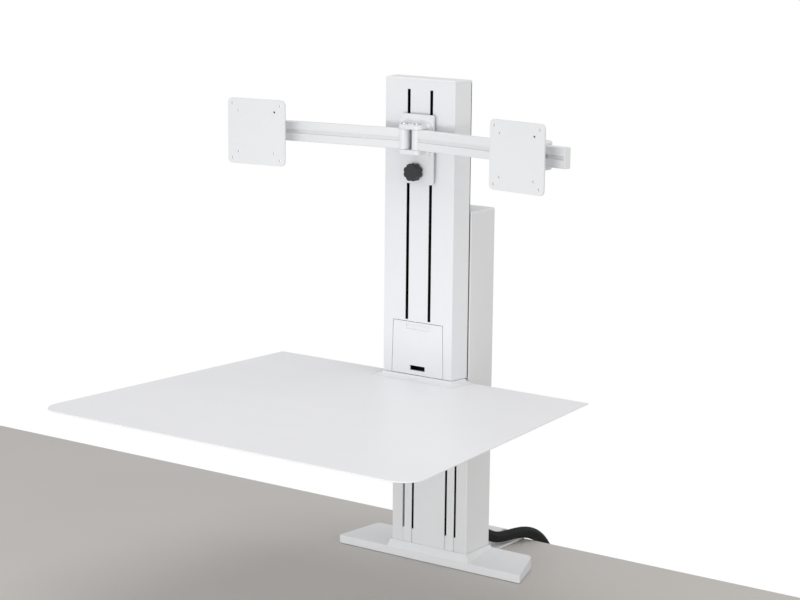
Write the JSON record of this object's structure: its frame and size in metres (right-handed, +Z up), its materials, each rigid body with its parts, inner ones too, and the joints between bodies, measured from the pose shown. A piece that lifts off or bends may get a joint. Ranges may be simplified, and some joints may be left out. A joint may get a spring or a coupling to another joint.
{
  "type": "standing desk converter",
  "caption": "Column with a sprung lift, clamped at a desk's rear edge, carries a keyboard tray and a slotted housing whose crossbar holds screen heads.",
  "frame": {"origin": "on the desk's surface, in the middle of the fixed column's front face", "axes": "+X to the user's right, +Y away from the user, +Z up"},
  "size_m": [0.7824, 0.9147, 1.045],
  "materials": {
    "white_moulding": "fine satin moulded white",
    "white_paint": "satin white powder coat",
    "tray_white": "smooth satin white",
    "steel_black": "satin black powder coat",
    "grey_moulding": "satin dark grey",
    "black_moulding": "fine-grained black",
    "aluminium": "satin anodised",
    "zinc_steel": "bright zinc plate",
    "spring_steel": "polished strip",
    "rubber": "matt black",
    "braid": "black braided monofilament"
  },
  "bodies": {
    "base": {"desk_pads": "rubber", "base_plate": "white_paint", "foot_cover": "white_moulding", "column_foot_block": "black_moulding", "desk_clamp_bracket": "white_paint", "base_fasteners": "zinc_steel", "column_shell": "white_paint", "column_front_panel": "white_moulding", "guide_rail_left": "white_moulding", "guide_rail_right": "white_moulding", "slot_stops": "grey_moulding", "column_head_block": "black_moulding", "column_top_cap": "white_moulding", "column_rear_cover": "white_moulding", "spring_strips": "spring_steel", "sleeve_gland": "black_moulding", "cable_sleeve": "braid", "sleeve_end_cuff": "black_moulding"},
    "lift": {"lift_carriage": "steel_black", "carriage_glides": "black_moulding", "spring_axle": "zinc_steel", "lift_front_plate": "white_paint", "tray": "tray_white", "tray_arms": "white_paint", "tray_bracket": "white_paint", "tray_collar": "white_moulding", "front_housing": "white_moulding", "housing_top_cap": "white_moulding", "housing_spine": "aluminium", "lift_fasteners": "zinc_steel"},
    "spools": {"spring_spools": "black_moulding", "spring_coils": "spring_steel"},
    "access_cover": {"access_cover": "white_moulding"},
    "riser": {"riser_carriage": "aluminium", "riser_glides": "black_moulding", "riser_plate": "white_paint", "crossbar_hub": "white_paint", "hub_pins": "zinc_steel"},
    "riser_knob": {"riser_knob": "black_moulding"},
    "clamp_pad_left": {"clamp_pad_left": "rubber"},
    "clamp_screw_left": {"clamp_screw_left": "zinc_steel", "clamp_knob_left": "black_moulding"},
    "arm_left": {"screen_arm_left": "white_paint", "arm_end_cap_left": "white_moulding"},
    "slider_left": {"head_slider_left": "white_paint", "tilt_pin_left": "zinc_steel"},
    "slider_knob_left": {"slider_knob_left": "black_moulding"},
    "tilt_left": {"tilt_block_left": "steel_black"},
    "turn_left": {"vesa_plate_left": "white_paint"},
    "clamp_pad_right": {"clamp_pad_right": "rubber"},
    "clamp_screw_right": {"clamp_screw_right": "zinc_steel", "clamp_knob_right": "black_moulding"},
    "arm_right": {"screen_arm_right": "white_paint", "arm_end_cap_right": "white_moulding"},
    "slider_right": {"head_slider_right": "white_paint", "tilt_pin_right": "zinc_steel"},
    "slider_knob_right": {"slider_knob_right": "black_moulding"},
    "tilt_right": {"tilt_block_right": "steel_black"},
    "turn_right": {"vesa_plate_right": "white_paint"}
  },
  "joints": [
    {"name": "lift_height", "type": "slide", "parent": "base", "child": "lift", "axis": [0, 0, 1], "range_m": [-0.3, 0.157], "deforming": ["spring_strips"]},
    {"name": "spools_wind", "type": "hinge", "parent": "lift", "child": "spools", "pos_m": [0, 0.0365, 0.45], "axis": [1, 0, 0], "range_deg": [-540, 1015]},
    {"name": "access_cover_tip", "type": "hinge", "parent": "lift", "child": "access_cover", "pos_m": [0, -0.0425, 0.371], "axis": [1, 0, 0], "range_deg": [0, 80]},
    {"name": "riser_height", "type": "slide", "parent": "lift", "child": "riser", "axis": [0, 0, 1], "range_m": [-0.085, 0.042]},
    {"name": "riser_knob_turn", "type": "hinge", "parent": "riser", "child": "riser_knob", "pos_m": [0, -0.054, 0.744], "axis": [0, -1, 0], "range_deg": [-360, 0]},
    {"name": "clamp_left_lift", "type": "slide", "parent": "base", "child": "clamp_pad_left", "axis": [0, 0, 1], "range_m": [-0.031, 0.018]},
    {"name": "clamp_left_screw", "type": "hinge", "parent": "clamp_pad_left", "child": "clamp_screw_left", "pos_m": [-0.028, 0.205, -0.085], "axis": [0, 0, 1], "range_deg": [-3721, 2161]},
    {"name": "arm_left_swing", "type": "hinge", "parent": "riser", "child": "arm_left", "pos_m": [-0.014, -0.072, 0.804], "axis": [0, 0, 1], "range_deg": [-8, 7]},
    {"name": "slider_left_travel", "type": "slide", "parent": "arm_left", "child": "slider_left", "axis": [-0.9903, -0.1392, 0], "range_m": [-0.06, 0.038]},
    {"name": "slider_knob_left_turn", "type": "hinge", "parent": "slider_left", "child": "slider_knob_left", "pos_m": [-0.28731, -0.11041, 0.804], "axis": [0, 0, 1], "range_deg": [-360, 0]},
    {"name": "head_left_tilt", "type": "hinge", "parent": "slider_left", "child": "tilt_left", "pos_m": [-0.28356, -0.13715, 0.804], "axis": [-0.9903, -0.1392, 0], "range_deg": [-5, 25]},
    {"name": "head_left_turn", "type": "hinge", "parent": "tilt_left", "child": "turn_left", "pos_m": [-0.27994, -0.1629, 0.804], "axis": [0.1392, -0.9903, 0], "range_deg": [-90, 90]},
    {"name": "clamp_right_lift", "type": "slide", "parent": "base", "child": "clamp_pad_right", "axis": [0, 0, 1], "range_m": [-0.031, 0.018]},
    {"name": "clamp_right_screw", "type": "hinge", "parent": "clamp_pad_right", "child": "clamp_screw_right", "pos_m": [0.028, 0.205, -0.085], "axis": [0, 0, 1], "range_deg": [-3721, 2161]},
    {"name": "arm_right_swing", "type": "hinge", "parent": "riser", "child": "arm_right", "pos_m": [0.014, -0.072, 0.804], "axis": [0, 0, 1], "range_deg": [-7, 8]},
    {"name": "slider_right_travel", "type": "slide", "parent": "arm_right", "child": "slider_right", "axis": [0.9903, -0.1392, 0], "range_m": [-0.06, 0.038]},
    {"name": "slider_knob_right_turn", "type": "hinge", "parent": "slider_right", "child": "slider_knob_right", "pos_m": [0.28731, -0.11041, 0.804], "axis": [0, 0, 1], "range_deg": [-360, 0]},
    {"name": "head_right_tilt", "type": "hinge", "parent": "slider_right", "child": "tilt_right", "pos_m": [0.28356, -0.13715, 0.804], "axis": [-0.9903, 0.1392, 0], "range_deg": [-5, 25]},
    {"name": "head_right_turn", "type": "hinge", "parent": "tilt_right", "child": "turn_right", "pos_m": [0.27994, -0.1629, 0.804], "axis": [-0.1392, -0.9903, 0], "range_deg": [-90, 90]}
  ],
  "couplings": [
    {"joint": "spools_wind", "follows": "lift_height", "rad_per_m": -58.824},
    {"joint": "clamp_left_screw", "follows": "clamp_left_lift", "rad_per_m": 2094.4},
    {"joint": "clamp_right_screw", "follows": "clamp_right_lift", "rad_per_m": 2094.4}
  ]
}
